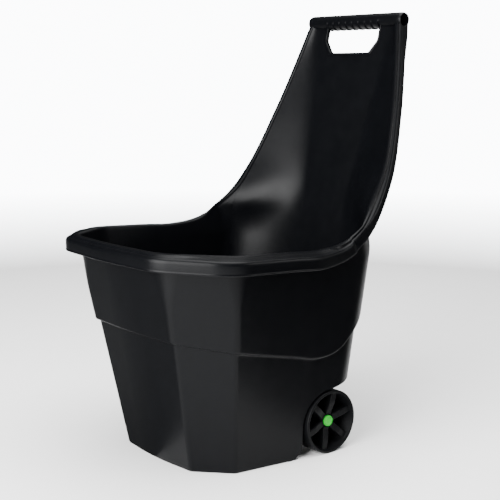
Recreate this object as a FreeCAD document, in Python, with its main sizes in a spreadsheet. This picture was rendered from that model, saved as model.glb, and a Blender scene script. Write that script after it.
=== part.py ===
import FreeCAD, Part
import math
import os
import Sketcher

# Garden cart: a one-piece moulded tub with a tall back and a tube handle, carried on two
# six-spoke wheels that turn on a steel axle clipped under the rear of the tub.
# Frame: +Z up, -Y the low nose of the tub, +Y the handle, X across; z = 0 is the ground.

V = FreeCAD.Vector

SIZES = {
    # tub walls, measured on the lower band; each lean is the outward growth per mm of height
    "wall_thick": 3.6,
    "band_step": 8.0,
    "nose_reach": 185.0,
    "front_reach": 175.3,
    "front_half": 99.8,
    "side_reach": 115.0,
    "side_half": 164.0,
    "rear_reach": 166.0,
    "rear_half": 204.0,
    "rear_round": 100.0,
    "crease_round": 16.0,
    "nose_round": 560.0,
    "front_lean": 0.191,
    "front_spread": 0.0884,
    "side_spread": 0.125,
    "side_lean": 0.094,
    "rear_lean": 0.165,
    # heights where the wall changes its lean, and the sections there
    "waist_height": 384.0,
    "shoulder_height": 425.0,
    "top_height": 845.0,
    "wing_height": 650.0,
    "shoulder_side_half": 214.0,
    "shoulder_half": 201.0,
    "wing_wall_half": 193.0,
    "wing_round": 100.0,
    "top_half": 121.0,
    "top_reach": 343.7,
    "waist_round": 107.0,
    "top_round": 14.0,
    # rim line: height at the nose, slope towards the rear, and the lip that follows it
    "rim_nose": 293.0,
    "rim_height": 420.0,
    "rim_slope": 0.05,
    "rim_half": 252.0,
    "rim_front_half": 148.0,
    "rim_front_reach": 283.0,
    "rim_side_reach": 190.0,
    "rim_wing_reach": 118.0,
    "rim_nose_round": 600.0,
    "rim_front_round": 70.0,
    "rim_corner_round": 85.0,
    "rim_side_round": 200.0,
    "rim_wing_round": 80.0,
    "rim_square_round": 5.0,
    "lip_thick": 3.6,
    "skirt_low": 26.0,
    "skirt_high": 17.0,
    "wing_half": 231.5,
    "wing_taper": 0.243,
    # ledge between the two wall bands, and the block that the lip is cut from
    "ledge_height": 198.8,
    "ledge_start": 50.0,
    "ledge_slope": 0.218,
    "ledge_floor": 170.0,
    "ledge_ceiling": 340.0,
    "lip_floor": 290.0,
    "lip_ceiling": 900.0,
    # handle tube, grip and hand hole
    "tube_height": 830.0,
    "tube_reach": 342.5,
    "tube_radius": 15.0,
    "bore_radius": 12.6,
    "tube_half": 136.0,
    "grip_half": 74.0,
    "grip_root": 14.4,
    "grip_teeth": 8.0,
    "hole_top_half": 74.5,
    "hole_low_half": 54.6,
    "hole_knee": 790.5,
    "hole_low": 766.0,
    "hole_rim": 9.0,
    # wheels and axle
    "wheel_radius": 62.3,
    "wheel_face": 194.0,
    "wheel_width": 42.0,
    "axle_reach": 93.5,
    "axle_radius": 5.0,
    "axle_half": 187.0,
    "rim_ring": 7.5,
    "face_inset": 7.0,
    "web_thick": 5.0,
    "hub_radius": 15.0,
    "hub_sink": 12.0,
    "ring_slope": 2.0,
    "spoke_width": 12.0,
    "spoke_count": 6.0,
    "spoke_turn": 13.0,
    "hub_gap": 0.3,
    "cap_radius": 11.6,
    "cap_depth": 6.4,
    "cap_wall": 1.4,
    "nut_radius": 9.0,
    "nut_thick": 1.2,
    "nut_rise": 0.8,
    "tread_round": 5.0,
    "washer_radius": 11.0,
    "washer_thick": 2.0,
    # wheel bays and axle bosses
    "bay_inner": 146.0,
    "bay_radius": 67.0,
    "bay_rise": 0.22,
    "foot_reach": 26.0,
    "foot_tail": 74.0,
    "foot_rise": 84.0,
    "tail_rise": 0.55,
    "boss_reach": 149.0,
    "boss_width": 29.0,
    "boss_radius": 13.0,
}

doc = FreeCAD.newDocument("garden_cart")
sheet = doc.addObject("Spreadsheet::Sheet", "sizes")
for row, (alias, value) in enumerate(SIZES.items(), start=1):
    sheet.set("A%d" % row, alias)
    sheet.set("B%d" % row, str(value))
    sheet.setAlias("B%d" % row, alias)
doc.recompute()


def size(alias):
    """A driving dimension, read back from the sheet."""
    return float(sheet.get(alias))


# ---------------------------------------------------------------- tub: plan sections

def grow_polygon(corners, grow):
    """Corners of a counter-clockwise polygon with every side moved outward by grow."""
    moved = []
    count = len(corners)
    for i in range(count):
        before, here, after = corners[i - 1], corners[i], corners[(i + 1) % count]
        first, second = (here - before).normalize(), (after - here).normalize()
        out_first, out_second = V(first.y, -first.x, 0), V(second.y, -second.x, 0)
        bisector = (out_first + out_second).normalize()
        moved.append(here + bisector * (grow / bisector.dot(out_first)))
    return moved


def rounded_wire(corners, radii):
    """Closed wire round the polygon, each corner replaced by a tangent arc of its radius."""
    count = len(corners)
    arcs = []
    for i in range(count):
        here = corners[i]
        to_before = (corners[i - 1] - here).normalize()
        to_after = (corners[(i + 1) % count] - here).normalize()
        half = to_before.getAngle(to_after) / 2
        reach = radii[i] / math.tan(half)
        bisector = (to_before + to_after).normalize()
        middle = here + bisector * (radii[i] / math.sin(half) - radii[i])
        arcs.append((here + to_before * reach, middle, here + to_after * reach))
    edges = []
    for i, (start, middle, end) in enumerate(arcs):
        edges.append(Part.Arc(start, middle, end).toShape())
        edges.append(Part.makeLine(end, arcs[(i + 1) % count][0]))
    return Part.Wire(edges)


def mirrored_corners(nose, right_side, height):
    """Seven corners, counter-clockwise from the nose, from the ones on the +X side."""
    right = [V(x, y, height) for x, y in right_side]
    left = [V(-x, y, height) for x, y in reversed(right_side)]
    return [V(0, -nose, height)] + right + left


def base_section(height):
    """Corner places of the lower band at a height up to the waist, with the rear radius."""
    swell = (size("waist_round") - size("rear_round")) / size("waist_height")
    rear_radius = size("rear_round") + height * swell
    right_side = [
        (size("front_half") + size("front_spread") * height, -size("front_reach") - size("front_lean") * height),
        (size("side_half") + size("side_spread") * height, -size("side_reach") - size("side_lean") * height),
        (size("rear_half"), size("rear_reach") + size("rear_lean") * height),
    ]
    return size("nose_reach") + size("front_lean") * height, right_side, rear_radius


def high_section(height):
    """Corner places above the waist: the back leans out and the side walls draw together."""
    waist, top = size("waist_height"), size("top_height")
    nose, right_side, rear_radius = base_section(waist)
    climb = (height - waist) / (top - waist)
    rear_start = right_side[2][1]
    rear_y = rear_start + climb * (size("top_reach") - size("band_step") - rear_start)
    stages = [(size("shoulder_height"), size("shoulder_half"), rear_radius),
              (size("wing_height"), size("wing_wall_half"), size("wing_round")),
              (top, size("top_half"), size("top_round"))]
    low, high = stages[:2] if height < size("wing_height") else stages[1:]
    share = (height - low[0]) / (high[0] - low[0])
    half = low[1] + share * (high[1] - low[1])
    side_half = half * size("shoulder_side_half") / size("shoulder_half")
    front_half = right_side[0][0] * half / size("shoulder_half")
    radius = low[2] + share * (high[2] - low[2])
    return nose, [(front_half, right_side[0][1]), (side_half, right_side[1][1]), (half, rear_y)], radius


def section_wire(section, height, grow):
    nose, right_side, rear_radius = section
    corners = grow_polygon(mirrored_corners(nose, right_side, height), grow)
    crease = size("crease_round") + grow
    rear = rear_radius + grow
    return rounded_wire(corners, [size("nose_round"), crease, crease, rear, rear, crease, crease])


def loft(wires):
    return Part.makeLoft(wires, True, True)


def lower_walls(grow, floor, ceiling):
    return loft([section_wire(base_section(z), z, grow) for z in (floor, ceiling)])


def upper_walls(grow, floor):
    waist = size("waist_height")
    lower = [section_wire(base_section(z), z, grow) for z in (floor, waist)]
    neck = section_wire(high_section(size("shoulder_height")), size("shoulder_height"), grow)
    return loft(lower).fuse([loft([lower[1], neck]), high_shell(grow)])


# ---------------------------------------------------------------- tub: side profiles

WIDE = 420.0        # half width of every side-profile cutter
BELOW = -60.0       # where the cutters start, under the ground
RIM_TOP = 838.0     # where the wings end, inside the handle tube
RIM_KNOTS = [(104, 415), (146, 440), (216, 520), (271, 640), (312, 760), (334, 836)]    # (y, z)
LEDGE_KNOTS = [(106, 205), (150, 243), (190, 276), (250, 284)]


def side_cutter(edges, inner=-WIDE, outer=WIDE):
    """Solid of a closed outline in the YZ plane, swept along X from inner to outer."""
    face = Part.Face(Part.Wire(edges))
    face.translate(V(inner, 0, 0))
    return face.extrude(V(outer - inner, 0, 0))


def yz(y, z):
    return V(0, y, z)


def closing_lines(points):
    return [Part.makeLine(a, b) for a, b in zip(points, points[1:])]


def rim_curve(drop_front, drop_rear):
    """Rim line lowered square to itself: a gentle fall to the rear, then the sweep up the back."""
    slope = size("rim_slope")
    front = yz(-WIDE, size("rim_height") + slope * (WIDE - size("rim_nose")))
    knots = [yz(30, size("rim_height") - slope * (30 + size("rim_nose")))] + [yz(y, z) for y, z in RIM_KNOTS]
    start, finish = V(0, 1, -slope), V(0, 0.3, 1)
    spline = Part.BSplineCurve()
    spline.interpolate(Points=knots, InitialTangent=start, FinalTangent=finish, Scale=True)
    moved = []
    for i, knot in enumerate(knots):
        tangent = spline.tangent(spline.parameter(knot))[0]
        below = V(0, tangent.z, -tangent.y)
        moved.append(knot + below * (drop_front + (drop_rear - drop_front) * i / (len(knots) - 1)))
    lowered = Part.BSplineCurve()
    lowered.interpolate(Points=moved, InitialTangent=start, FinalTangent=finish, Scale=True)
    front = front - V(0, 0, drop_front)
    return [Part.makeLine(front, moved[0]), lowered.toShape()], front, moved[-1]


def below_rim(drop_front=0.0, drop_rear=0.0):
    """Everything under and behind the rim line."""
    edges, front, rear = rim_curve(drop_front, drop_rear)
    corners = [rear, yz(rear.y, RIM_TOP), yz(WIDE, RIM_TOP), yz(WIDE, BELOW), yz(-WIDE, BELOW), front]
    return side_cutter(edges + closing_lines(corners))


def above_ledge(lift):
    """Everything over the ledge between the two wall bands; it climbs round the rear corners."""
    ledge = Part.BSplineCurve()
    slope, start = size("ledge_slope"), size("ledge_start")
    points = [yz(start, size("ledge_height") + lift)] + [yz(y, z + lift) for y, z in LEDGE_KNOTS]
    ledge.interpolate(Points=points, InitialTangent=V(0, 1, -slope), FinalTangent=V(0, 1, 0), Scale=True)
    front = yz(-WIDE, points[0].z + slope * (WIDE + start))
    rear = yz(WIDE, points[-1].z)
    top = size("lip_ceiling")
    edges = [Part.makeLine(front, points[0]), ledge.toShape()]
    return side_cutter(edges + closing_lines([points[-1], rear, yz(WIDE, top), yz(-WIDE, top), front]))


def bay_outline(spare):
    """Outline of a wheel bay in side view: an arch over the wheel, open to the rear."""
    centre = yz(size("axle_reach"), size("wheel_radius"))
    radius = size("bay_radius") + spare
    lead, peak = centre + V(0, -radius, 0), centre + V(0, 0, radius)
    corner = centre + V(0, -radius, radius) * math.sqrt(0.5)
    rear = yz(WIDE, peak.z + size("bay_rise") * (WIDE - peak.y))
    foot = yz(lead.y, BELOW)
    edges = [Part.makeLine(foot, lead), Part.Arc(lead, corner, peak).toShape()]
    return edges + closing_lines([peak, rear, yz(WIDE, BELOW), foot])


def rear_outline(spare):
    """Outline cut from under the middle of the tub so that it clears the ground when tipped."""
    reach, rise = size("foot_reach") - spare, size("foot_rise") + spare
    foot, knee, tail = yz(reach, BELOW), yz(reach, size("wall_thick")), yz(size("foot_tail") - spare, rise)
    rear = yz(WIDE, rise + size("tail_rise") * (WIDE - tail.y))
    return closing_lines([foot, knee, tail, rear, yz(WIDE, BELOW), foot])


def underside_cut(spare):
    inner = size("bay_inner") - spare
    bays = [side_cutter(bay_outline(spare), inner, WIDE), side_cutter(bay_outline(spare), -WIDE, -inner)]
    return bays[0].fuse([bays[1], side_cutter(rear_outline(spare))])


# ---------------------------------------------------------------- tub: lip and handle

def lip_block(inset):
    """Outer limit of the lip: an upright block on the rim's plan, narrowed up the two wings."""
    wide, wing = size("rim_half"), size("wing_half")
    right_side = [(size("rim_front_half"), -size("rim_front_reach")), (wide, -size("rim_side_reach")),
                  (wide, 0), (wing, size("rim_wing_reach")), (wing, WIDE)]
    floor, ceiling = size("lip_floor"), size("lip_ceiling")
    corners = grow_polygon(mirrored_corners(size("rim_nose"), right_side, floor), -inset)
    turns = [size("rim_%s_round" % name) for name in ("front", "corner", "side", "wing", "square")]
    radii = [size("rim_nose_round")] + turns + turns[::-1]
    block = Part.Face(rounded_wire(corners, radii)).extrude(V(0, 0, ceiling - floor))
    low = size("shoulder_height")
    half_low = wing - inset
    narrow = half_low - size("wing_taper") * (ceiling - low)
    outline = [V(-WIDE, -WIDE, floor), V(WIDE, -WIDE, floor), V(WIDE, -WIDE, low), V(half_low, -WIDE, low),
               V(narrow, -WIDE, ceiling), V(-narrow, -WIDE, ceiling), V(-half_low, -WIDE, low),
               V(-WIDE, -WIDE, low), V(-WIDE, -WIDE, floor)]
    wedge = Part.Face(Part.makePolygon(outline)).extrude(V(0, 2 * WIDE, 0))
    return block.common(wedge)


def x_cylinder(radius, start, end):
    place = V(start, size("tube_reach"), size("tube_height"))
    return Part.makeCylinder(radius, end - start, place, V(1, 0, 0))


def hand_hole(spare):
    """Six-sided opening under the grip, cut straight through the back."""
    top = size("tube_height")
    upper, lower = size("hole_top_half") + spare, size("hole_low_half") + spare
    knee, low = size("hole_knee"), size("hole_low") - spare
    start = size("tube_reach") - 60
    right = [(lower, low), (upper, knee), (upper, top)]
    left = [(-x, z) for x, z in reversed(right)]
    outline = right + left + right[:1]
    return Part.Face(Part.makePolygon([V(x, start, z) for x, z in outline])).extrude(V(0, 120, 0))


def grip():
    """Handle tube with saw-tooth finger ridges between the sides of the hand hole."""
    half, grip_half = size("tube_half"), size("grip_half")
    root, crest = size("grip_root"), size("tube_radius")
    ends = [x_cylinder(crest, -half, -grip_half), x_cylinder(crest, grip_half, half)]
    count = int(size("grip_teeth"))
    pitch = 2 * grip_half / count
    outline = [V(-grip_half, 0, 0)]
    for tooth in range(count):
        start = -grip_half + tooth * pitch
        outline += [V(start, 0, root), V(start + pitch, 0, crest)]
    outline += [V(grip_half, 0, 0), V(-grip_half, 0, 0)]
    ridges = Part.Face(Part.makePolygon(outline)).revolve(V(0, 0, 0), V(1, 0, 0), 360)
    ridges.translate(V(0, size("tube_reach"), size("tube_height")))
    return ends[0].fuse([ridges, ends[1]])


def axle_bosses():
    """Two lugs under the tub that hold the axle, bored for it."""
    y, z = size("axle_reach"), size("wheel_radius")
    radius, width, outer = size("boss_radius"), size("boss_width"), size("boss_reach")
    lugs = []
    for start in (outer - width, -outer):
        barrel = Part.makeCylinder(radius, width, V(start, y, z), V(1, 0, 0))
        lugs.append(barrel.fuse(Part.makeBox(width, 2 * radius, 60, V(start, y - radius, z))))
    return lugs[0].fuse(lugs[1])


def make_tub():
    thick, step = size("wall_thick"), size("band_step")
    ledge_floor, ledge_ceiling = size("ledge_floor"), size("ledge_ceiling")
    under_rim = below_rim()
    outside = lower_walls(0, 0, ledge_ceiling).fuse(upper_walls(step, ledge_floor).common(above_ledge(0)))
    inside = lower_walls(-thick, thick, ledge_ceiling).fuse(
        upper_walls(step - thick, ledge_floor).common(above_ledge(thick)))
    walls = outside.common(under_rim).cut(underside_cut(0))
    lugs = axle_bosses().common(lower_walls(0, 0, ledge_ceiling))
    hollow = inside.cut(underside_cut(thick))
    lip = lip_block(0).common(under_rim)
    plate = lip.cut(below_rim(size("lip_thick"), size("lip_thick")))
    skirt = lip.cut(lip_block(size("lip_thick"))).cut(below_rim(size("skirt_low"), size("skirt_high")))
    hole_frame = hand_hole(size("lip_thick")).common(outside_shell_behind())
    body = walls.fuse([lugs, plate, skirt]).cut(hollow)
    body = body.fuse([hole_frame, grip()]).cut(hand_hole(0).cut(x_cylinder(size("tube_radius"), -90, 90)))
    reach = size("tube_half") + 5
    body = body.cut(x_cylinder(size("bore_radius"), -reach, reach))
    axle_way = Part.makeCylinder(size("axle_radius") + size("hub_gap"), 2 * WIDE,
                                 V(-WIDE, size("axle_reach"), size("wheel_radius")), V(1, 0, 0))
    return body.cut(axle_way).removeSplitter()


def outside_shell_behind():
    """Slice just behind the back panel, where the frame of the hand hole stands proud."""
    step, thick = size("band_step"), size("wall_thick")
    outer = high_shell(step + size("hole_rim") - thick)
    return outer.cut(high_shell(step - thick)).common(below_rim())


def high_shell(grow):
    """The back above the shoulder, in two lofts that meet where the wings start to narrow."""
    heights = [size("shoulder_height"), size("wing_height"), size("top_height")]
    wires = [section_wire(high_section(z), z, grow) for z in heights]
    return loft(wires[:2]).fuse(loft(wires[1:]))


def add_tub():
    tub = doc.addObject("Part::Feature", "tub")
    tub.Shape = make_tub()
    return tub


# ---------------------------------------------------------------- turned pieces on the axle

def cell(expression):
    """A formula on the sheet's cells, with each alias written as {alias}."""
    names = {alias: "sizes." + alias for alias in SIZES}
    return expression.format(**names)


def new_body(name):
    return doc.addObject("PartDesign::Body", name)


def origin_plane(body, role):
    return next(item for item in body.Origin.OriginFeatures if item.Role == role)


def sketch_on(body, role, name):
    sketch = body.newObject("Sketcher::SketchObject", name)
    sketch.AttachmentSupport = [(origin_plane(body, role), "")]
    sketch.MapMode = "FlatFace"
    return sketch


def bound(sketch, expression, kind, *where):
    """Add a dimension whose value is a formula on the sheet."""
    index = sketch.addConstraint(Sketcher.Constraint(kind, *where))
    sketch.setExpression("Constraints[%d]" % index, cell(expression))


def outline_sketch(body, role, name, corners):
    """Closed polygon whose corners are pairs of formulas on the sheet."""
    sketch = sketch_on(body, role, name)
    count = len(corners)
    rough = [V(20 + 9 * math.cos(2 * math.pi * i / count), 9 * math.sin(2 * math.pi * i / count), 0)
             for i in range(count)]
    for i in range(count):
        sketch.addGeometry(Part.LineSegment(rough[i], rough[(i + 1) % count]), False)
    for i in range(count):
        sketch.addConstraint(Sketcher.Constraint("Coincident", i, 2, (i + 1) % count, 1))
    for i, (across, up) in enumerate(corners):
        bound(sketch, across, "DistanceX", i, 1, rough[i].x)
        bound(sketch, up, "DistanceY", i, 1, rough[i].y)
    return sketch


def turned(body, name, corners):
    """Solid of revolution about the body's Z axis; corners are (radius, place along the axis)."""
    sketch = outline_sketch(body, "XZ_Plane", name + "_outline", corners)
    turn = body.newObject("PartDesign::Revolution", name)
    turn.Profile = sketch
    turn.ReferenceAxis = (sketch, ["V_Axis"])
    turn.Angle = 360
    return turn


def set_on_axle(body, side, reach, turn=0.0):
    """Lay the body's Z axis along X, outward on its own side, at a formula's distance from the middle."""
    outward = FreeCAD.Rotation(V(0, 0, 1), V(side, 0, 0))
    body.Placement = FreeCAD.Placement(V(0, 0, 0), outward.multiply(FreeCAD.Rotation(V(0, 0, 1), turn)))
    body.setExpression("Placement.Base.x", cell(("" if side > 0 else "-") + "(" + reach + ")"))
    body.setExpression("Placement.Base.y", cell("{axle_reach}"))
    body.setExpression("Placement.Base.z", cell("{wheel_radius}"))


def add_axle():
    body = new_body("axle")
    end = "{axle_half}"
    tip = "{axle_radius} - 1"
    turned(body, "rod", [("0", "-" + end), (tip, "-" + end), ("{axle_radius}", "-" + end + " + 1"),
                         ("{axle_radius}", end + " - 1"), (tip, end), ("0", end)])
    set_on_axle(body, 1, "0")
    return body


def add_wheel(name, side):
    """One-piece wheel: tread ring, hub, closing web and six spokes; its face is at local z = 0."""
    body = new_body(name)
    bore = "{axle_radius} + {hub_gap}"
    ring = "{wheel_radius} - {rim_ring}"
    shoulder = "{wheel_radius} - {tread_round}"
    back = "-{wheel_width}"
    web_back = back + " + {face_inset}"
    web_front = web_back + " + {web_thick}"
    turned(body, "rim_and_hub", [
        (bore, back), (bore, "-{hub_sink}"), ("{hub_radius}", "-{hub_sink}"), ("{hub_radius}", web_front),
        (ring + " - {ring_slope}", web_front), (ring, "-{face_inset}"), (ring + " + {ring_slope}", "0"),
        (shoulder, "0"), ("{wheel_radius}", "-{tread_round}"), ("{wheel_radius}", back + " + {tread_round}"),
        (shoulder, back),
        (ring, back), (ring, web_back), ("{hub_radius}", web_back), ("{hub_radius}", back)])
    half = "{spoke_width} / 2"
    spoke_sketch = outline_sketch(body, "XY_Plane", "spoke_outline", [
        ("{hub_radius} - 2", "-" + half), (ring + " + 1", "-" + half),
        (ring + " + 1", half), ("{hub_radius} - 2", half)])
    spoke_sketch.setExpression("AttachmentOffset.Base.z", cell("-{face_inset}"))
    spoke = body.newObject("PartDesign::Pad", "spoke")
    spoke.Profile = spoke_sketch
    spoke.Reversed = True
    spoke.setExpression("Length", cell("{wheel_width} - 2 * {face_inset} - {web_thick} / 2"))
    spokes = body.newObject("PartDesign::PolarPattern", "spokes")
    spokes.Originals = [spoke]
    spokes.Axis = (origin_plane(body, "Z_Axis"), [""])
    spokes.Angle = 360
    spokes.setExpression("Occurrences", cell("{spoke_count}"))
    body.Tip = spokes
    set_on_axle(body, side, "{wheel_face}", -side * size("spoke_turn"))
    return body


def add_push_nut(name, side):
    """Sprung steel disc pushed over the axle end; it keeps the wheel on."""
    body = new_body(name)
    turned(body, "dished_disc", [
        ("{axle_radius}", "{nut_rise}"), ("{nut_radius} - 2", "0"), ("{nut_radius}", "0"),
        ("{nut_radius}", "{nut_thick}"), ("{nut_radius} - 2", "{nut_thick}"),
        ("{axle_radius}", "{nut_rise} + {nut_thick}")])
    set_on_axle(body, side, "{wheel_face} - {hub_sink} + 0.2")
    return body


def add_hub_cap(name, side):
    """Domed cover over the push nut, with an inner sleeve that grips the axle end."""
    body = new_body(name)
    ceiling = "{cap_depth} - {cap_wall}"
    sleeve = "{axle_radius} + 1.6"
    inside = "{cap_radius} - {cap_wall}"
    turned(body, "cap", [
        ("{axle_radius}", "2.2"), (sleeve, "2.2"), (sleeve, ceiling), (inside, ceiling), (inside, "0"),
        ("{cap_radius}", "0"), ("{cap_radius}", "{cap_depth} - 2"), ("{cap_radius} - 2", "{cap_depth}"),
        ("0", "{cap_depth} + 0.8"), ("0", ceiling), ("{axle_radius}", ceiling)])
    set_on_axle(body, side, "{wheel_face} - {hub_sink} + 0.4")
    return body


def add_washer(name, side):
    body = new_body(name)
    bore = "{axle_radius} + 0.1"
    turned(body, "ring", [(bore, "0"), ("{washer_radius}", "0"),
                          ("{washer_radius}", "{washer_thick}"), (bore, "{washer_thick}")])
    set_on_axle(body, side, "{wheel_face} - {wheel_width} - {washer_thick} - 0.5")
    return body


pieces = [add_tub(), add_axle()]
for suffix, side in (("left", -1), ("right", 1)):
    pieces += [add_wheel("wheel_" + suffix, side), add_washer("washer_" + suffix, side),
               add_push_nut("push_nut_" + suffix, side), add_hub_cap("hub_cap_" + suffix, side)]
for piece in pieces:
    piece.Label = piece.Name
doc.recompute()

for item in doc.Objects:
    if "Invalid" in item.State or "Error" in item.State:
        raise SystemExit("not built: " + item.Name)
for piece in pieces:
    if piece.Shape.isNull() or not piece.Shape.isValid() or len(piece.Shape.Solids) != 1:
        raise SystemExit("not a sound solid: " + piece.Name)

os.makedirs("parts", exist_ok=True)
for piece in pieces:
    piece.Shape.exportStep("parts/%s.step" % piece.Label)
    box = piece.Shape.BoundBox
    print("%-16s %9.0f mm3  x %.1f..%.1f  y %.1f..%.1f  z %.1f..%.1f" % (
        piece.Label, piece.Shape.Volume, box.XMin, box.XMax, box.YMin, box.YMax, box.ZMin, box.ZMax))
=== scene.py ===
import math

import bmesh
import bpy
import numpy as np
from mathutils import Matrix, Vector


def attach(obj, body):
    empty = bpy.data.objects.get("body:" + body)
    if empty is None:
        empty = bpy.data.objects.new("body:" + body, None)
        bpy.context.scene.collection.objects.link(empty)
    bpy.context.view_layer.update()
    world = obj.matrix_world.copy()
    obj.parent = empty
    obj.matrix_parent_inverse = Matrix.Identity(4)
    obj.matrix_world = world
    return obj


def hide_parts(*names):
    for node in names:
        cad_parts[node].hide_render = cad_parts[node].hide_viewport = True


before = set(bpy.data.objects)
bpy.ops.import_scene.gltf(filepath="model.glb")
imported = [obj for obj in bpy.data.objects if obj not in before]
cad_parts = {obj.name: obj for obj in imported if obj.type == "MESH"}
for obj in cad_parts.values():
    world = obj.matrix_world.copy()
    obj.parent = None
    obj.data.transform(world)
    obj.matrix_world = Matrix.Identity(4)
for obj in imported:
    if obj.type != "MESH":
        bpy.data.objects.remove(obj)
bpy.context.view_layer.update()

# Garden cart in metres: +Z up, -Y the low nose of the tub, +Y the handle, X across.
# The tub is one moulded shell; its plan is a rounded seven-sided outline that leans out with height.

# tub walls, on the lower band; above the waist the back leans out more
WALL = 0.0036
BAND_STEP = 0.008
CREASE_ROUND = 0.016
NOSE_ROUND = 0.56
WAIST = 0.384
TOP = 0.836
BACK_FOOT, BACK_LEAN, BACK_EXTRA_LEAN = 0.166, 0.165, 0.0656
REAR_MIX_START, REAR_MIX_HEIGHT = 0.375, 0.14

# lip
LIP_DROP_FRONT = 0.026
LIP_DROP_WING = 0.017
LIP_DROP_TOP = 0.024
CREST_LIFT = 0.0058
WING_LIP = 0.015
WING_HALF, WING_TAPER, WING_BULGE = 0.228, 0.236, 0.0050

# hand hole: half widths and heights of its straight sides, tapered shoulders and flat foot
HOLE_HALF, HOLE_FOOT_HALF = 0.0745, 0.0546
HOLE_TOP, HOLE_SHOULDER, HOLE_FOOT = 0.8290, 0.7905, 0.766
HOLE_CORNER = 0.005

# handle
TUBE_Y, TUBE_Z, TUBE_R, TUBE_HALF = 0.3425, 0.830, 0.015, 0.1345
BORE_R = 0.0126
GRIP_HALF = 0.074
GRIP_TEETH = 8
GRIP_SWELL, RIDGE_DEPTH = 0.0028, 0.0018

# wheels and axle
AXLE_Y, AXLE_Z = 0.0935, 0.0623
AXLE_HOLE_R = 0.0053
WHEEL_R, WHEEL_FACE, WHEEL_WIDTH = 0.0623, 0.1965, 0.0445
BAY_INNER, BAY_RADIUS, BAY_RISE = 0.146, 0.0665, 0.22
FOOT_ROUND = 0.025

# how far the pieces that cut the tub reach past it, backward and sideways, and down
CUT_REACH, CUT_LOW = 0.42, -0.06

# studio and camera
WORLD_LIGHT, WORLD_SEEN = 0.02, 12.0
FLOOR_HALF = 30.0
FADE_START, FADE_END = 2.0, 4.5
CARD_HEIGHT = 0.001
CAMERA_TURN, CAMERA_RISE = math.radians(50.4), math.radians(9.7)
CAMERA_PLACE = (1.5976, -1.2696, 0.7314)
CAMERA_LENS, SENSOR_WIDTH = 76.0, 36.0


# ---------------------------------------------------------------- curves

def curve_through(knots, samples=60):
    """Smooth curve through 2-D knots: cubic Hermite spans with slopes taken over the neighbouring chords."""
    knots = np.array(knots, float)
    chord = np.linalg.norm(np.diff(knots, axis=0), axis=1)
    at = np.concatenate([[0.0], np.cumsum(chord)])
    slope = np.empty_like(knots)
    step = np.diff(knots, axis=0) / chord[:, None]
    weight = (chord[:-1] / (chord[:-1] + chord[1:]))[:, None]
    slope[1:-1] = step[:-1] * (1 - weight) + step[1:] * weight
    slope[0], slope[-1] = step[0], step[-1]
    u = np.linspace(0, 1, samples, endpoint=False)[None, :, None]
    a, b = knots[:-1, None], knots[1:, None]
    ma, mb = slope[:-1, None] * chord[:, None, None], slope[1:, None] * chord[:, None, None]
    spans = ((2 * u**3 - 3 * u**2 + 1) * a + (u**3 - 2 * u**2 + u) * ma
             + (3 * u**2 - 2 * u**3) * b + (u**3 - u**2) * mb)
    return np.vstack([spans.reshape(-1, 2), knots[-1:]])


def soft_above(height, start, width):
    """Height over a start, rounded off near it: width * log(1 + exp((height - start) / width))."""
    return width * np.logaddexp(0.0, (height - start) / width)


def smooth(x):
    """Smooth step from 0 to 1: 3 x^2 - 2 x^3 on the clipped value."""
    x = np.clip(x, 0.0, 1.0)
    return x * x * (3 - 2 * x)


RIM = curve_through([(-0.42, 0.42635), (-0.2, 0.41535), (-0.05, 0.40785), (0.03, 0.40385), (0.104, 0.415),
                     (0.146, 0.440), (0.216, 0.520), (0.271, 0.640), (0.312, 0.760), (0.334, 0.836),
                     (0.338, 0.850)])
LEDGE = curve_through([(-0.42, 0.2991), (-0.1, 0.22932), (0.0, 0.20751), (0.045, 0.1977), (0.099, 0.205),
                       (0.143, 0.243), (0.183, 0.276), (0.245, 0.286), (0.42, 0.286)])
RIM_LOW_POINT = int(np.argmin(RIM[:, 1]))


def rim_height(y):
    return np.interp(y, RIM[:, 0], RIM[:, 1])


def rim_reach(z):
    """y of the climbing part of the rim line at a height."""
    return np.interp(z, RIM[RIM_LOW_POINT:, 1], RIM[RIM_LOW_POINT:, 0])


def rim_tangent(y):
    """Unit tangent (y, z) of the rim line at a reach, from a short chord either side."""
    slope = (rim_height(y + 0.004) - rim_height(y - 0.004)) / 0.008
    length = np.sqrt(1 + slope**2)
    return 1 / length, slope / length


# ---------------------------------------------------------------- tub plan

def rear_reach(z):
    """y of the flat back on the lower band's outer face: a lean that steepens above the waist."""
    return BACK_FOOT + BACK_LEAN * z + BACK_EXTRA_LEAN * soft_above(z, WAIST, 0.012)


def wing_half(z):
    """Half width of the lip's ridge up the wings: a straight taper with a slight bulge."""
    bulge = WING_BULGE * np.sin(np.pi * np.clip((z - 0.36) / 0.46, 0, 1))
    return WING_HALF - WING_TAPER * soft_above(z, 0.425, 0.010) + bulge


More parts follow.
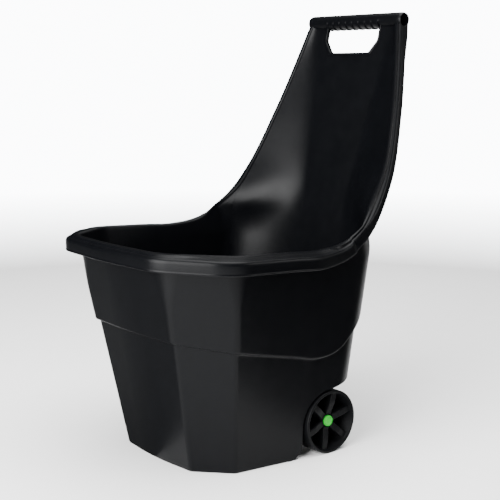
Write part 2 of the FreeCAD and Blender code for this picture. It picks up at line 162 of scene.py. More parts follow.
def rear_curve(share, z, grow):
    """Point and outward angle on the rear corner of the plan, from the side wall (share 0) to the flat
    back (share 1): a cubic Bezier. Low down it is a flattened quarter round; up the back it becomes a
    splayed face that runs from the rim to a soft crease at the edge of the flat back. The four control
    points of the two shapes are mixed by a smooth step over the height."""
    # low shape: the side wall's direction, the corner where its line meets the flat back, and two points
    # along each of the two walls
    side = np.arctan2(0.008 + 0.125 * (z - WAIST), 0.30)
    corner_x, corner_y = 0.204 - 0.25 * soft_above(z, 0.430, 0.012), rear_reach(z)
    low = [(corner_x + np.sin(side) * back, corner_y - np.cos(side) * back) for back in (0.080, 0.037)]
    low += [(corner_x - inward, corner_y) for inward in (0.063, 0.142)]
    # high shape: from ahead of the rim, along the straight splay, to just past the crease
    at = np.maximum(z, 0.44)
    crest = (wing_half(at) - WING_LIP - 0.012 * smooth((0.56 - at) / 0.12), rim_reach(at))
    crease = (0.080 + 0.1065 * (at - 0.497), rear_reach(z) + BAND_STEP - WALL)
    lead = (crest[0] + 0.35 * (crest[0] - crease[0]), crest[1] + 0.35 * (crest[1] - crease[1]))
    high = [lead, (lead[0] + 0.66 * (crease[0] - lead[0]), lead[1] + 0.66 * (crease[1] - lead[1])),
            (crease[0] + 0.004, crease[1]), (crease[0] - 0.018, crease[1])]
    mix = smooth((z - REAR_MIX_START) / REAR_MIX_HEIGHT)
    p = [(a[0] + mix * (b[0] - a[0]), a[1] + mix * (b[1] - a[1])) for a, b in zip(low, high)]
    s, r = share, 1 - share
    weights = (r**3, 3 * r**2 * s, 3 * r * s**2, s**3)
    pulls = (3 * r**2, 6 * r * s, 3 * s**2)
    x, y = (sum(w * c[i] for w, c in zip(weights, p)) for i in (0, 1))
    run, rise = (sum(w * (b[i] - a[i]) for w, a, b in zip(pulls, p, p[1:])) for i in (0, 1))
    angle = np.arctan2(-run, rise)
    out = grow - mix * (BAND_STEP - WALL)
    return x + out * np.cos(angle), y + out * np.sin(angle), angle


def plan(z):
    """Front three corner arcs of the plan at heights z, right half: centres, radii and outward angles.

    A corner's arc has its centre at corner - (n1 + n2) * radius / (1 + n1.n2), with n1 and n2 the outward
    normals of its two sides, so a wall grown by g is the same arc about the same centre, radius + g."""
    crease = CREASE_ROUND + 0.050 * smooth((z - 0.31) / 0.10)
    # the nose and the two creases beside it: each one's place at the foot, and its lean with height
    corners = [
        (0 * z, -(0.1850 + 0.191 * z)),
        (0.1030 + 0.0804 * z, -(0.1753 + 0.191 * z)),
        (0.164 + 0.125 * z, -(0.1182 + 0.0865 * z)),
    ]
    radii = [NOSE_ROUND + 0 * z, crease, crease]
    rear = rear_curve(0 * z, z, 0.0)
    ring = [(-corners[1][0], corners[1][1])] + corners + [(rear[0], rear[1])]
    turns = [np.arctan2(-(b[0] - a[0]), b[1] - a[1]) for a, b in zip(ring, ring[1:])]
    turns[0] = -np.pi - turns[1]
    centres = []
    for i, corner in enumerate(corners):
        first, second = turns[i], turns[i + 1]
        share = radii[i] / (1 + np.cos(second - first))
        centres.append((corner[0] - (np.cos(first) + np.cos(second)) * share,
                        corner[1] - (np.sin(first) + np.sin(second)) * share))
    return centres, radii, turns


def wall(corner, turn, slide, z, grow):
    """Points of the wall: on a corner's arc at a share `turn` of its angle (the rear corner is number 3),
    then slid a share of the way along the straight side to the next corner or to the middle of the back."""
    centres, radii, turns = plan(z)
    shape = np.broadcast(corner, z).shape
    pick = np.broadcast_to(corner, shape)
    front = np.minimum(pick, 2)

    def chosen(values, index):
        return np.choose(index, [np.broadcast_to(v, shape) for v in values])

    angle = chosen(turns[:3], front) + turn * (chosen(turns[1:], front) - chosen(turns[:3], front))
    radius = chosen(radii, front) + grow
    x = chosen([c[0] for c in centres], front) + radius * np.cos(angle)
    y = chosen([c[1] for c in centres], front) + radius * np.sin(angle)
    rear = rear_curve(turn + 0 * z, z + 0 * turn, grow)
    x, y = np.where(pick == 3, rear[0], x), np.where(pick == 3, rear[1], y)
    angle = np.where(pick == 3, rear[2], angle)
    end_angle = chosen(turns[1:], front)
    after = np.minimum(pick + 1, 2)
    after_radius = chosen(radii, after) + grow
    ahead = rear_curve(0 * z, z, grow)
    after_x = chosen([c[0] for c in centres], after) + after_radius * np.cos(end_angle)
    after_y = chosen([c[1] for c in centres], after) + after_radius * np.sin(end_angle)
    next_x, next_y = np.where(pick < 2, after_x, ahead[0]), np.where(pick < 2, after_y, ahead[1])
    next_x, next_y = np.where(pick == 3, 0.0, next_x), np.where(pick == 3, y, next_y)
    return np.stack([x + slide * (next_x - x), y + slide * (next_y - y), z + 0 * x], -1), angle


def rear_share(y, z, grow):
    """Share of the rear curve at which a wall grown by `grow` passes through (y, z), found by halving."""
    low, high = np.zeros_like(z), np.ones_like(z)
    for _ in range(30):
        middle = (low + high) / 2
        beyond = rear_curve(middle, z, grow)[1] > y
        low, high = np.where(beyond, low, middle), np.where(beyond, middle, high)
    return (low + high) / 2


def stations():
    """Stations round the right half of the plan, from the middle of the nose to the middle of the back.

    Up the wing they are set by height: evenly spaced points of the rim line, carried to the rear curve.
    Returns corner, slide, turn of the inner wall, turn of the outer wall, the number of stations before
    the wing, and the heights of the wing's inner and outer edges."""
    heights = np.linspace(0.42, TOP, 800)
    reached = rear_share(rim_reach(heights), heights, BAND_STEP - WALL)
    start = heights[np.argmax(reached > 0.004)]
    wing = np.linspace(start, TOP, 66)
    inner = rear_share(rim_reach(wing), wing, BAND_STEP - WALL)
    across, climb = rim_tangent(rim_reach(wing))
    low_z = wing - WALL * across
    outer = rear_share(rim_reach(wing) + WALL * climb, low_z, BAND_STEP)
    rest = np.linspace(0, 1, 20)[1:]
    # (corner, turn, slide); None stands for the rear corner's own turns, which differ on the two walls
    pieces = [
        (0, np.linspace(0.5, 1, 9), np.zeros(9)),
        (0, np.ones(9), np.linspace(0, 1, 11)[1:-1]),
        (1, np.linspace(0, 1, 13), np.zeros(13)),
        (1, np.ones(9), np.linspace(0, 1, 11)[1:-1]),
        (2, np.linspace(0, 1, 13), np.zeros(13)),
        (2, np.ones(47), np.linspace(0, 1, 49)[1:-1]),
        (3, None, np.zeros(len(wing) + len(rest))),
        (3, np.ones(14), np.linspace(0, 1, 15)[1:]),
    ]
    inner_arc = np.concatenate([inner, inner[-1] + (1 - inner[-1]) * rest])
    outer_arc = np.concatenate([outer, outer[-1] + (1 - outer[-1]) * rest])
    corner = np.concatenate([np.full(len(slide), index) for index, _, slide in pieces])
    slide = np.concatenate([piece[2] for piece in pieces])
    turn_in = np.concatenate([inner_arc if piece[1] is None else piece[1] for piece in pieces])
    turn_out = np.concatenate([outer_arc if piece[1] is None else piece[1] for piece in pieces])
    before = sum(len(piece[2]) for piece in pieces[:6])
    return corner, slide, turn_in, turn_out, before, wing, low_z


def rim_outline():
    """Outer limit of the lip in plan, right half: a rounded outline, as arcs at 2 degree steps."""
    corners = np.array([(-0.148, -0.283), (0, -0.2932), (0.148, -0.283), (0.252, -0.190), (0.252, 0.0),
                        (0.232, 0.118), (0.232, 0.60)])
    radii = [0.600, 0.070, 0.085, 0.200, 0.080]
    line = []
    for before, here, after, radius in zip(corners, corners[1:], corners[2:], radii):
        first, second = here - before, after - here
        a, b = math.atan2(-first[0], first[1]), math.atan2(-second[0], second[1])
        b += 2 * math.pi * round((a - b) / (2 * math.pi))
        bend = abs(b - a)
        side = 1 if b > a else -1
        normal = np.array([[math.cos(t), math.sin(t)] for t in (a, b)])
        centre = here - side * normal.sum(0) * radius / (1 + math.cos(bend))
        angles = np.linspace(a, b, max(3, int(math.degrees(bend) / 2) + 2))
        line.append(centre + side * radius * np.stack([np.cos(angles), np.sin(angles)], -1))
    return np.vstack(line + [corners[-1:]])


def reach_out(origin, direction, line):
    """Distance from each origin along its direction to a polyline: the nearest crossing ahead, or 9 m
    where nothing is crossed."""
    a, edge = line[:-1], np.diff(line, axis=0)
    across = direction[:, None, 0] * edge[None, :, 1] - direction[:, None, 1] * edge[None, :, 0]
    gap = a[None] - origin[:, None]
    ahead = (gap[..., 0] * edge[None, :, 1] - gap[..., 1] * edge[None, :, 0]) / across
    along = (gap[..., 0] * direction[:, None, 1] - gap[..., 1] * direction[:, None, 0]) / across
    hit = (along >= -1e-6) & (along <= 1 + 1e-6) & (ahead > 0)
    return np.where(hit, ahead, 9.0).min(1)


# ---------------------------------------------------------------- meshes

def new_piece(name, points, faces):
    """Object of the given points and faces, linked to the scene, with its faces turned outward."""
    mesh = bpy.data.meshes.new(name)
    mesh.from_pydata(points.tolist(), [], faces)
    mesh.validate()
    piece = bpy.data.objects.new(name, mesh)
    bpy.context.scene.collection.objects.link(piece)
    turn_faces_out(mesh)
    return piece


def turn_faces_out(mesh):
    work = bmesh.new()
    work.from_mesh(mesh)
    bmesh.ops.recalc_face_normals(work, faces=work.faces)
    work.to_mesh(mesh)
    work.free()


def closed_grid(name, grid, poles=None):
    """Closed surface over a grid of rows and columns; columns wrap round. With two pole points the first
    and last rows close in fans, without them the rows wrap round too."""
    rows, columns = grid.shape[:2]
    bands = rows if poles is None else rows - 1
    row, column = np.meshgrid(np.arange(bands), np.arange(columns), indexing="ij")
    low, high = row * columns, (row + 1) % rows * columns
    after = (column + 1) % columns
    quads = np.stack([low + column, low + after, high + after, high + column], -1).reshape(-1, 4)
    points = grid.reshape(-1, 3)
    faces = quads.tolist()
    if poles is not None:
        points = np.vstack([points, np.array(poles, float)])
        around = np.arange(columns)
        following = (around + 1) % columns
        last = (rows - 1) * columns
        south = np.stack([following, around, np.full(columns, rows * columns)], -1)
        north = np.stack([last + around, last + following, np.full(columns, rows * columns + 1)], -1)
        faces += south.tolist() + north.tolist()
    return new_piece(name, points, faces)


def solid_between(name, first, second):
    """Solid between two matching loops of points, closed by the loops themselves."""
    count = len(first)
    faces = [[i, (i + 1) % count, count + (i + 1) % count, count + i] for i in range(count)]
    faces += [list(range(count))[::-1], list(range(count, 2 * count))]
    return new_piece(name, np.vstack([first, second]), faces)


def prism(name, outline, start, end):
    """Outline in the YZ plane carried along X between two places."""
    outline = np.array(outline, float)
    return solid_between(name, *(np.column_stack([np.full(len(outline), x), outline]) for x in (start, end)))


def turned(name, profile, centre, side=1, segments=96):
    """Profile of (place along the axis, radius) turned about X; `side` is the way the axis points.
    A profile that starts and ends on the axis gets poles, any other one is a closed ring."""
    profile = np.array(profile, float)
    on_axis = profile[0, 1] < 1e-9
    poles = None
    ring = profile
    if on_axis:
        ring = profile[1:-1]
        poles = [(centre[0] + side * profile[i, 0], centre[1], centre[2]) for i in (0, -1)]
    angle = np.linspace(0, 2 * np.pi, segments, endpoint=False)
    x = centre[0] + side * ring[:, :1] + 0 * angle
    grid = np.stack([x, centre[1] + ring[:, 1:] * np.sin(angle), centre[2] + ring[:, 1:] * np.cos(angle)], -1)
    return closed_grid(name, grid, poles)


def combine(piece, other, operation):
    """Boolean of two closed meshes, applied at once; the second object is used up."""
    change = piece.modifiers.new("change", "BOOLEAN")
    change.operation = operation
    change.solver = "MANIFOLD"
    change.object = other
    result = bpy.data.meshes.new_from_object(piece.evaluated_get(bpy.context.evaluated_depsgraph_get()))
    piece.modifiers.clear()
    piece.data = result
    bpy.data.objects.remove(other)
    return piece


def finish_piece(piece, body, material, sharp=35.0):
    """Gives a finished piece its material and its body; edges over `sharp` degrees stay sharp."""
    piece.data.materials.clear()
    piece.data.materials.append(material)
    piece.data.polygons.foreach_set("use_smooth", np.ones(len(piece.data.polygons), bool))
    piece.data.set_sharp_from_angle(angle=math.radians(sharp))
    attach(piece, body)
    return piece


def both_halves(rows):
    """Full rings from right halves: the left half is the mirrored right one, walked back."""
    left = rows[:, -2:0:-1] * np.array([-1.0, 1.0, 1.0])
    return np.concatenate([rows, left], 1)


# ---------------------------------------------------------------- tub shell

def ledge_heights(corner, turn, slide, grow, lift):
    """Height of the ledge on each station: the ledge line at that station's own reach, settled by repeats."""
    z = np.full(corner.shape, 0.25)
    for _ in range(5):
        points, _ = wall(corner, turn, slide, z, grow)
        z = np.interp(points[:, 1], LEDGE[:, 0], LEDGE[:, 1]) + lift
    return z


# section of the ledge from the upper band down to the lower one: (outward growth share, height over it)
LEDGE_SECTION = np.array([(1, .0075), (1, .0045), (.985, .0026), (.91, .0010), (.78, .0001), (.60, -.0004),
                          (.38, -.0008), (.18, -.0014), (.05, -.0025), (0, -.0045), (0, -.0075)])


def wall_rows(corner, turn, slide, top, thick, upper_count, lower_count, foot, foot_round):
    """Rows of one face of the wall, from the top line down to the foot: the upper band, the ledge's
    section, the lower band, and a rounded foot edge turning in."""
    ledge = ledge_heights(corner, turn, slide, -thick, thick)
    upper = ledge + LEDGE_SECTION[0, 1]
    share = np.linspace(0, 1, upper_count)[:, None]
    z = [top + (upper - top) * share]
    grow = [np.full_like(z[0], BAND_STEP - thick)]
    z.append(ledge + LEDGE_SECTION[1:, 1:])
    grow.append(BAND_STEP * LEDGE_SECTION[1:, :1] - thick + 0 * z[1])
    start = foot + foot_round
    share = np.linspace(0, 1, lower_count)[1:, None]
    z.append(z[1][-1] + (start - z[1][-1]) * share)
    grow.append(np.full_like(z[2], -thick))
    bend = np.radians([18, 36, 54, 72, 90])[:, None]
    z.append(start - foot_round * np.sin(bend) + 0 * top)
    grow.append(-thick - foot_round * (1 - np.cos(bend)) + 0 * z[3])
    points, _ = wall(corner, turn, slide, np.vstack(z), np.vstack(grow))
    return points


def floor_rows(edge, centre):
    """Rows that shrink a foot ring towards the middle of the floor."""
    share = np.array([0.12, 0.3, 0.5, 0.7, 0.88])[:, None, None]
    return edge[None] * (1 - share) + centre * share


def lip_section(width, lift, drop, scale):
    """Section of the lip on each station as (outward, upward) rows: a rounded crest by the inner wall, a
    plate that falls to the outer ridge, the skirt with its rolled lower edge, and back along the inside."""
    def at(near, far, up):
        return np.stack([near * scale + far * width, up], -1)
    rows = [
        # crest
        at(.0006, 0, .35 * lift), at(.0016, 0, .62 * lift), at(.0032, 0, .85 * lift),
        at(.0054, 0, .97 * lift), at(.0080, 0, lift), at(.0110, 0, .95 * lift),
        # plate
        at(.0115, .15, .80 * lift), at(.006, .40, .52 * lift), at(0, .70, .22 * lift),
        # ridge
        at(-.0068, 1, .06 * lift), at(-.0046, 1, -.0004 * scale), at(-.0028, 1, -.0013 * scale),
        at(-.0013, 1, -.0029 * scale), at(-.0004, 1, -.0050 * scale), at(0, 1, -.0078 * scale),
        # skirt
        at(0, 1, -.35 * drop), at(-.0002, 1, -.60 * drop), at(-.0006, 1, -.80 * drop),
        # rolled lower edge
        at(-.0008, 1, -drop + .0034 * scale), at(-.0002, 1, -drop + .0022 * scale),
        at(-.0004, 1, -drop + .0010 * scale), at(-.0014, 1, -drop), at(-.0028, 1, -drop + .0002 * scale),
        at(-.0038, 1, -drop + .0014 * scale), at(-.0042, 1, -drop + .0034 * scale),
        # back up the inside
        at(-.0044, 1, -.60 * drop), at(-.0044, 1, -.40 * drop), at(-.0050, 1, -.0072 * scale),
        at(-.0066, 1, -.0052 * scale), at(-.0090, 1, -.0040 * scale),
    ]
    return np.stack(rows)


def tub_shell():
    """The tub as one closed surface: inner floor, inner wall, lip, outer wall and underside."""
    corner, slide, turn_in, turn_out, before, wing, wing_low = stations()
    count, wing_count = len(corner), len(wing)
    in_wing = slice(before, before + wing_count)
    behind = slice(before + wing_count, count)
    inside_grow = BAND_STEP - WALL

    # heights of the wall's two top edges: a first guess, settled by repeats
    top_in = np.full(count, 0.41)
    top_out = np.full(count, 0.41)
    for _ in range(6):
        inner_top, _ = wall(corner, turn_in, slide, top_in, inside_grow)
        outer_top, _ = wall(corner, turn_out, slide, top_out, BAND_STEP)
        top_in = rim_height(inner_top[:, 1])
        top_out = rim_height(outer_top[:, 1]) - WALL / rim_tangent(outer_top[:, 1])[0]
        top_in[in_wing], top_out[in_wing] = wing, wing_low
        top_in[behind] = top_out[behind] = TOP
    inner_top, angle = wall(corner, turn_in, slide, top_in, inside_grow)
    outer_top, _ = wall(corner, turn_out, slide, top_out, BAND_STEP)

    # the way out from the inner wall to the ridge: square to the wall, but straight across on the wings
    out_angle = np.where(np.arange(count) < before, angle, 0.0)
    out = np.stack([np.cos(out_angle), np.sin(out_angle)], -1)
    width = reach_out(inner_top[:, :2], out, rim_outline())
    ridge_xy = inner_top[:, :2] + out * width[:, None]
    # up the wings the ridge keeps to their taper, and behind them the lip shrinks into the back
    wing_limit = wing_half(top_in)
    late = np.arange(count) >= before - 6
    ridge_xy[late, 0] = np.minimum(ridge_xy[late, 0], wing_limit[late])
    ridge = np.column_stack([ridge_xy, rim_height(ridge_xy[:, 1])])
    ridge[in_wing, 2] = wing
    past = np.linspace(0, 1, count - before - wing_count + 1)[1:]
    arm = ridge - inner_top
    last = arm[before + wing_count - 1]
    fade = smooth(np.minimum(past * 2.2, 1))[:, None]
    arm[behind] = last * (1 - fade) + np.array([0, 0.006, 0]) * fade
    width = np.linalg.norm(arm, axis=1)
    arm /= width[:, None]
    across, climb = rim_tangent(inner_top[:, 1])
    up = np.column_stack([0 * across, -climb, across])
    up[behind] = up[before + wing_count - 1] * (1 - fade) + np.array([0, 0, 1.0]) * fade
    # the crest sinks and the skirt shortens up the wings, and the skirt lengthens again near the top
    rise = np.clip((top_in - 0.43) / 0.25, 0, 1)
    lift = CREST_LIFT * (1 - 0.45 * rise) * np.clip((TOP + 0.004 - top_in) / 0.03, 0.12, 1)
    drop = LIP_DROP_FRONT + (LIP_DROP_WING - LIP_DROP_FRONT) * smooth((inner_top[:, 1] - 0.03) / 0.25)
    drop = drop + (LIP_DROP_TOP - LIP_DROP_WING) * smooth((top_in - 0.74) / 0.08)
    scale = np.clip(width / 0.022, 0.0, 1.0)
    drop[behind] *= 1 - 0.8 * fade[:, 0]
    section = lip_section(width, lift, drop, scale)
    lip = inner_top + section[..., :1] * arm + section[..., 1:] * up
    seam = lip[-1:] + (outer_top - lip[-1:]) * 0.5

    inner = wall_rows(corner, turn_in, slide, top_in, WALL, 44, 26, WALL, 0.012)
    outer = wall_rows(corner, turn_out, slide, top_out, 0.0, 44, 30, 0.0, 0.003)
    middle = np.array([0.0, -0.02, 0.0])
    inside_floor = floor_rows(inner[-1], middle + [0, 0, WALL])
    underside = floor_rows(outer[-1], middle)
    rows = np.concatenate([inside_floor[::-1], inner[::-1], lip, seam, outer, underside])
    return closed_grid("tub_shell", both_halves(rows), [middle + [0, 0, WALL], middle])


def outer_core(height=0.34):
    """Solid of the lower walls alone, used to trim what is added under the tub."""
    corner, slide, _, turn_out, *_ = stations()
    share = np.linspace(0, 1, 12)[:, None]
    z = 0.0002 + (height - 0.0002) * share + 0 * corner
    points, _ = wall(corner, turn_out, slide, z, -0.0003)
    return closed_grid("core", both_halves(points), [(0, 0, 0.0002), (0, 0, height)])


def bay_outline(spare):
    """Side outline of a wheel bay: an arch over the wheel, then a roof that rises to the rear."""
    radius = BAY_RADIUS + spare
    angle = np.radians(np.linspace(180, 90, 31))
    arch = np.column_stack([AXLE_Y + radius * np.cos(angle), AXLE_Z + radius * np.sin(angle)])
    peak = arch[-1]
    tail = [(CUT_REACH, peak[1] + BAY_RISE * (CUT_REACH - peak[0])), (CUT_REACH, CUT_LOW)]
    return np.vstack([foot_corner(arch[0][0], 0), arch, tail])


def foot_corner(reach, spare):
    """Rounded rear corner of the foot, from below the floor up to the given reach."""
    angle = np.radians(np.linspace(-90, 0, 13))
    centre = (reach - FOOT_ROUND, FOOT_ROUND + spare)
    arc = np.column_stack([centre[0] + FOOT_ROUND * np.cos(angle), centre[1] + FOOT_ROUND * np.sin(angle)])
    return np.vstack([[(arc[0][0], CUT_LOW)], arc])


def rear_outline(spare):
    """Side outline of what is cut from under the middle of the tub: up the first two thirds of the foot's
    rounded corner, back and up to a step just ahead of the axle, then rising to the rear."""
    step_y, step_z, rise = 0.074, 0.084 + spare, 0.55
    foot = foot_corner(0.026 - spare, spare)[:10]
    rear = [(CUT_REACH, step_z + rise * (CUT_REACH - step_y + spare)), (CUT_REACH, CUT_LOW)]
    return np.vstack([foot, [(step_y - spare, step_z)], rear])


def underside_cut(spare):
    """What is cut from under the tub, grown by `spare`: the two wheel bays and the raised rear, which is
    1 mm wider so that no end faces lie together."""
    inner = BAY_INNER - spare
    cut = prism("bay", bay_outline(spare), inner, CUT_REACH)
    combine(cut, prism("bay", bay_outline(spare), -CUT_REACH, -inner), "UNION")
    return combine(cut, prism("rear", rear_outline(spare), -0.421, 0.421), "UNION")


def axle_lug(side):
    """Lug under the tub round the axle: a barrel with a web up to the underside."""
    barrel_r, web_height = 0.013, 0.06
    angle = np.radians(np.linspace(0, -180, 25))
    barrel = np.column_stack([AXLE_Y + barrel_r * np.cos(angle), AXLE_Z + barrel_r * np.sin(angle)])
    web = [(AXLE_Y - barrel_r, AXLE_Z + web_height), (AXLE_Y + barrel_r, AXLE_Z + web_height)]
    places = sorted((side * 0.120, side * 0.149))
    return prism("lug", np.vstack([barrel, web]), *places)


def hand_hole_path(spare):
    """Outline of the hand hole in (x, z): straight sides, tapered shoulders and a flat foot, with corners
    rounded by quadratic curves; its top is hidden inside the tube."""
    half, foot_half, foot = HOLE_HALF + spare, HOLE_FOOT_HALF + spare, HOLE_FOOT - spare
    corners = np.array([(half, HOLE_TOP), (half, HOLE_SHOULDER), (foot_half, foot),
                        (-foot_half, foot), (-half, HOLE_SHOULDER), (-half, HOLE_TOP)])
    t = np.linspace(0, 1, 7)[:, None]
    line = [corners[:1]]
    for before, here, after in zip(corners, corners[1:], corners[2:]):
        start = here + (before - here) / np.linalg.norm(before - here) * HOLE_CORNER
        end = here + (after - here) / np.linalg.norm(after - here) * HOLE_CORNER
        line.append(start * (1 - t)**2 + 2 * here * t * (1 - t) + end * t**2)
    return np.vstack(line + [corners[-1:]])


def hand_hole_cutter():
    """The hand hole's outline carried through the back panel along Y."""
    path = hand_hole_path(0.0)
    ends = [np.column_stack([path[:, 0], np.full(len(path), y), path[:, 1]]) for y in (0.28, CUT_REACH)]
    return solid_between("hole", *ends)


def hole_bead():
    """Moulded bead round the hand hole: a rounded section (outward from the hole, backward) carried round
    the hole's path and set on the leaning back panel."""
    section = np.array([(-.0002, .0040), (-.0002, -.0006), (.0004, -.0018), (.0014, -.0024), (.0030, -.0024),
                        (.0044, -.0016), (.0052, -.0004), (.0054, .0010), (.0054, .0050), (.0046, .0062),
                        (.0030, .0068), (.0012, .0066), (.0002, .0058)])
    rows = []
    for out, back in section:
        path = hand_hole_path(out)
        y = rear_reach(path[:, 1]) + (BAND_STEP - WALL) + back
        rows.append(np.column_stack([path[:, 0], y, path[:, 1]]))
    return closed_grid("bead", np.stack(rows))


def grip_tube():
    """Handle tube about X: radius = tube radius, with rounded ends. Under the grip it swells by GRIP_SWELL,
    less a saw-tooth dip of RIDGE_DEPTH beside each finger ridge."""
    pitch = 2 * GRIP_HALF / GRIP_TEETH
    teeth = np.arange(GRIP_TEETH)
    inside = -GRIP_HALF + (teeth[:, None] + np.array([0.0, .04, .12, .3, .5, .7, .85, .96])) * pitch
    edge, taper = 0.009, 0.0030
    bend = np.radians(np.linspace(0, 90, 8))
    end = TUBE_HALF - edge + edge * np.sin(bend)
    end_radius = TUBE_R - taper + taper * np.cos(bend)
    plain = np.linspace(GRIP_HALF + 0.0006, TUBE_HALF - edge - 0.002, 9)
    x = np.concatenate([-end[::-1], -plain[::-1], inside.ravel(), [GRIP_HALF], plain, end])
    base = np.concatenate([end_radius[::-1], np.full(len(x) - 2 * len(end), TUBE_R), end_radius])
    phase = (x + GRIP_HALF) / pitch % 1.0
    tooth = np.where(np.abs(x) < GRIP_HALF - 1e-6, 1 - smooth(phase / 0.92), 0)
    angle = np.linspace(0, 2 * np.pi, 72, endpoint=False)
    under = smooth((0.25 - np.cos(angle)) / 0.9)
    gripped = np.where(np.abs(x) < GRIP_HALF + 1e-6, GRIP_SWELL, 0.0)
    radius = base[:, None] + (gripped - RIDGE_DEPTH * tooth)[:, None] * under
    y, z = TUBE_Y + radius * np.sin(angle), TUBE_Z + radius * np.cos(angle)
    grid = np.stack([x[:, None] + 0 * angle, y, z], -1)
    return closed_grid("tube", grid, [(-TUBE_HALF, TUBE_Y, TUBE_Z), (TUBE_HALF, TUBE_Y, TUBE_Z)])


def make_tub():
    """The whole moulding: the shell cut and lined underneath, the lugs, the hand hole and the handle."""
    tub = tub_shell()
    combine(tub, underside_cut(0.0), "DIFFERENCE")
    liner = combine(underside_cut(WALL), underside_cut(0.0), "DIFFERENCE")
    combine(liner, outer_core(), "INTERSECT")
    combine(tub, liner, "UNION")
    for side in (-1, 1):
        combine(tub, combine(axle_lug(side), outer_core(), "INTERSECT"), "UNION")
    way = [(-.4, 0), (-.4, AXLE_HOLE_R), (.4, AXLE_HOLE_R), (.4, 0)]
    combine(tub, turned("axle_way", way, (0, AXLE_Y, AXLE_Z), segments=48), "DIFFERENCE")
    combine(tub, hand_hole_cutter(), "DIFFERENCE")
    combine(tub, hole_bead(), "UNION")
    combine(tub, grip_tube(), "UNION")
    mouth_r, mouth_depth = .0136, .0012
    bore = [(-.16, 0), (-.16, mouth_r), (-TUBE_HALF, mouth_r), (-TUBE_HALF + mouth_depth, BORE_R),
            (TUBE_HALF - mouth_depth, BORE_R), (TUBE_HALF, mouth_r), (.16, mouth_r), (.16, 0)]
    combine(tub, turned("bore", bore, (0, TUBE_Y, TUBE_Z), segments=72), "DIFFERENCE")
    tub.name = "moulded_tub"
    return tub


# ---------------------------------------------------------------- wheels

# depths behind the wheel's face, then the radius of the tread's edges, and the spokes
POCKET = -0.033
HUB_FACE = -0.0142
TREAD_ROUND = .0028
SPOKE_HALF = 0.0060
SPOKE_TURN = math.radians(13)
SPOKES = 6


def wheel_grid():
    """Wheel as (radius, angle, depth behind the face) arrays. The front is a height field over rows of
    radius and columns that follow the straight spoke sides: depth = soft maximum of a profile across the
    spoke and a profile along the radius."""
    radius = np.concatenate([
        [AXLE_HOLE_R, .008, .011, .0132, .0140, .0145, .0149, .0152, .0156, .0162, .0172, .020],
        np.linspace(.024, .046, 8),
        [.0475, .0482, .0490, .0500, .0510, .0520, .0530, .0540],
        [.0550, .0560, .0568, .0574, .0580, .0584, .0592]])
    across = np.concatenate([np.array([0, .4, .75, .9, 1.0]) * SPOKE_HALF,
                             SPOKE_HALF + np.array([.0003, .0006, .0009, .0012, .0016])])
    rest = np.array([.12, .3, .5, .75, 1.0])
    r = radius[:, None]
    reach = np.minimum(across[None, :], r * math.sin(math.radians(24)))
    on_spoke = np.arcsin(reach / r)
    beside = on_spoke[:, -1:] + (math.pi / SPOKES - on_spoke[:, -1:]) * rest
    half = np.concatenate([on_spoke, beside], 1)
    lateral = np.concatenate([np.broadcast_to(across, on_spoke.shape),
                              np.broadcast_to(across[-1] + rest * .01, beside.shape)], 1)
    spoke = np.interp(lateral, SPOKE_HALF + np.array([-.0012, -.0005, 0, .0004, .0012, .0016]),
                      np.array([-.0060, -.0061, -.0066, -.0080, -.0295, POCKET]))
    spoke = np.where(r > .0128, spoke - .0050 * smooth((.040 - r) / .026), -.05)
    along = np.interp(radius, [AXLE_HOLE_R, .0140, .0149, .0152, .0162, .0475, .0482, .0568, .0574, .0584],
                      [HUB_FACE, HUB_FACE, HUB_FACE - .0006, HUB_FACE - .002, POCKET, POCKET, POCKET + .002,
                       -.0022, -.0003, .0])
    depth = 0.0005 * np.logaddexp(spoke / 0.0005, along[:, None] / 0.0005)
    depth = np.minimum(depth, 0.0)
    angle = np.concatenate([half[:, :0:-1] * -1, half], 1)[:, 1:]
    depth = np.concatenate([depth[:, :0:-1], depth], 1)[:, 1:]
    turns = np.arange(SPOKES) * 2 * math.pi / SPOKES + SPOKE_TURN
    angle = np.concatenate([angle + turn for turn in turns], 1)
    depth = np.tile(depth, (1, SPOKES))
    bend = np.radians(np.linspace(12, 90, 6))
    tread_r = WHEEL_R - TREAD_ROUND + TREAD_ROUND * np.sin(bend)
    tread_x = -TREAD_ROUND + TREAD_ROUND * np.cos(bend)
    crown = np.linspace(0, 1, 9)[1:-1]
    back = -WHEEL_WIDTH
    web = back + .006
    # over the tread, round to the back, down into the hollow behind the spokes, and over the hub
    rear = np.concatenate([
        np.column_stack([tread_r, tread_x]),
        np.column_stack([WHEEL_R - .0002 * (2 * crown - 1)**2,
                         -TREAD_ROUND + (back + 2 * TREAD_ROUND) * crown]),
        np.column_stack([tread_r[::-1], back - tread_x[::-1]]),
        [(.0545, back), (.0533, back + .0004), (.0528, back + .0015), (.0524, back + .0055), (.0515, web),
         (.040, web), (.030, web), (.020, web), (.0158, web), (.0152, back + .0055),
         (.0150, back + .001), (.0144, back), (.0060, back), (AXLE_HOLE_R, back + .0006)]])
    columns = angle.shape[1]
    rear_r = np.repeat(rear[:, :1], columns, 1)
    rear_x = np.repeat(rear[:, 1:], columns, 1)
    rear_angle = np.broadcast_to(angle[-1], rear_r.shape)
    return (np.concatenate([np.broadcast_to(r, angle.shape), rear_r]), np.concatenate([angle, rear_angle]),
            np.concatenate([depth, rear_x]))


def make_wheel(name, side):
    """Wheel of wheel_grid() set on its side of the axle."""
    radius, angle, depth = wheel_grid()
    grid = np.stack([side * (WHEEL_FACE + depth), AXLE_Y + radius * np.sin(angle),
                     AXLE_Z + radius * np.cos(angle)], -1)
    return closed_grid(name, grid)


